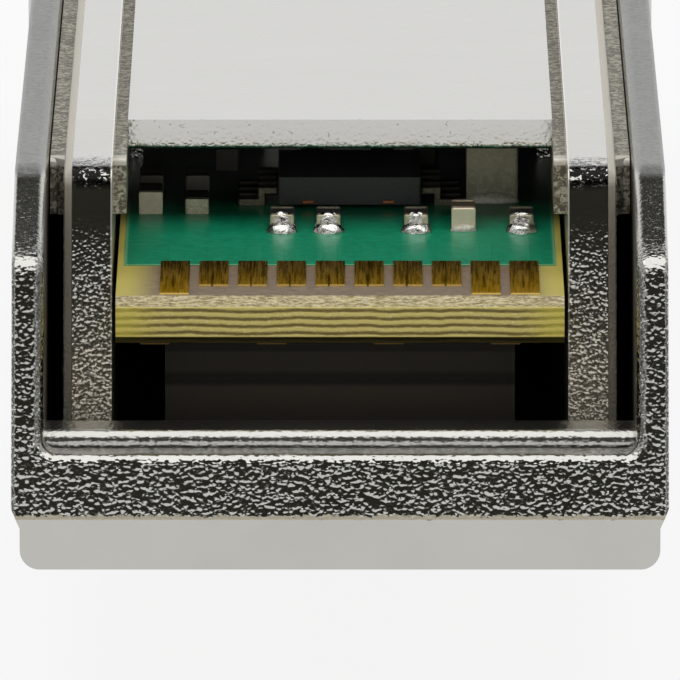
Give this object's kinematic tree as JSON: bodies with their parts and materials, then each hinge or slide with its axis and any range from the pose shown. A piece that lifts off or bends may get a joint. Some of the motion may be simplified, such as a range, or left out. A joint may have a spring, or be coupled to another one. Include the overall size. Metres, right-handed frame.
{
  "type": "copper network transceiver",
  "caption": "Pluggable copper network transceiver: nickel-plated cast body, bevelled card-edge board, modular plug socket and bail latch.",
  "frame": {"origin": "middle of the base of the whole module, on the face that the plug head lies on", "axes": "+X across the width, +Y from the card edge to the plug head, +Z from the label side to the board-facing side"},
  "size_m": [0.0142, 0.068, 0.0132],
  "materials": {
    "cast_nickel": "nickel-plated casting, orange-peel skin",
    "laminate": "glass laminate under glossy green solder mask",
    "gold": "gold plating",
    "moulding": "black moulding compound",
    "solder": "bright tin",
    "dark_ceramic": "dark fired ceramic",
    "tan_ceramic": "tan ceramic",
    "steel": "stainless sheet",
    "thermal": "soft grey pad",
    "jack_plastic": "black moulded plastic"
  },
  "bodies": {
    "housing": {"top_shell": "cast_nickel", "bottom_shell": "cast_nickel", "circuit_board": "laminate", "contact_pads_upper": "gold", "contact_pads_lower": "gold", "memory_chip": "moulding", "memory_chip_leads": "solder", "chip_resistors": "dark_ceramic", "resistor_terminals": "solder", "chip_capacitors": "tan_ceramic", "capacitor_terminals": "solder", "bulk_capacitor": "tan_ceramic", "bulk_capacitor_terminals": "solder", "solder_joints": "solder", "crystal_can": "steel", "power_inductor": "dark_ceramic", "controller_chip": "moulding", "thermal_pad": "thermal", "pulse_transformer": "moulding", "jack_housing": "jack_plastic", "jack_contacts": "gold", "grounding_collar": "steel", "housing_screws": "steel"},
    "bail": {"bail_lever": "steel"},
    "slider": {"latch_slider": "steel"}
  },
  "joints": [
    {"name": "bail_pivot", "type": "hinge", "parent": "housing", "child": "bail", "pos_m": [0, 0.0308, 0.0114], "axis": [1, 0, 0], "range_deg": [0, 90]},
    {"name": "slider_slide", "type": "slide", "parent": "housing", "child": "slider", "axis": [0, -1, 0], "range_m": [0, 0.00065]}
  ],
  "couplings": [
    {"joint": "bail_pivot", "follows": "slider_slide", "rad_per_m": 2416}
  ]
}
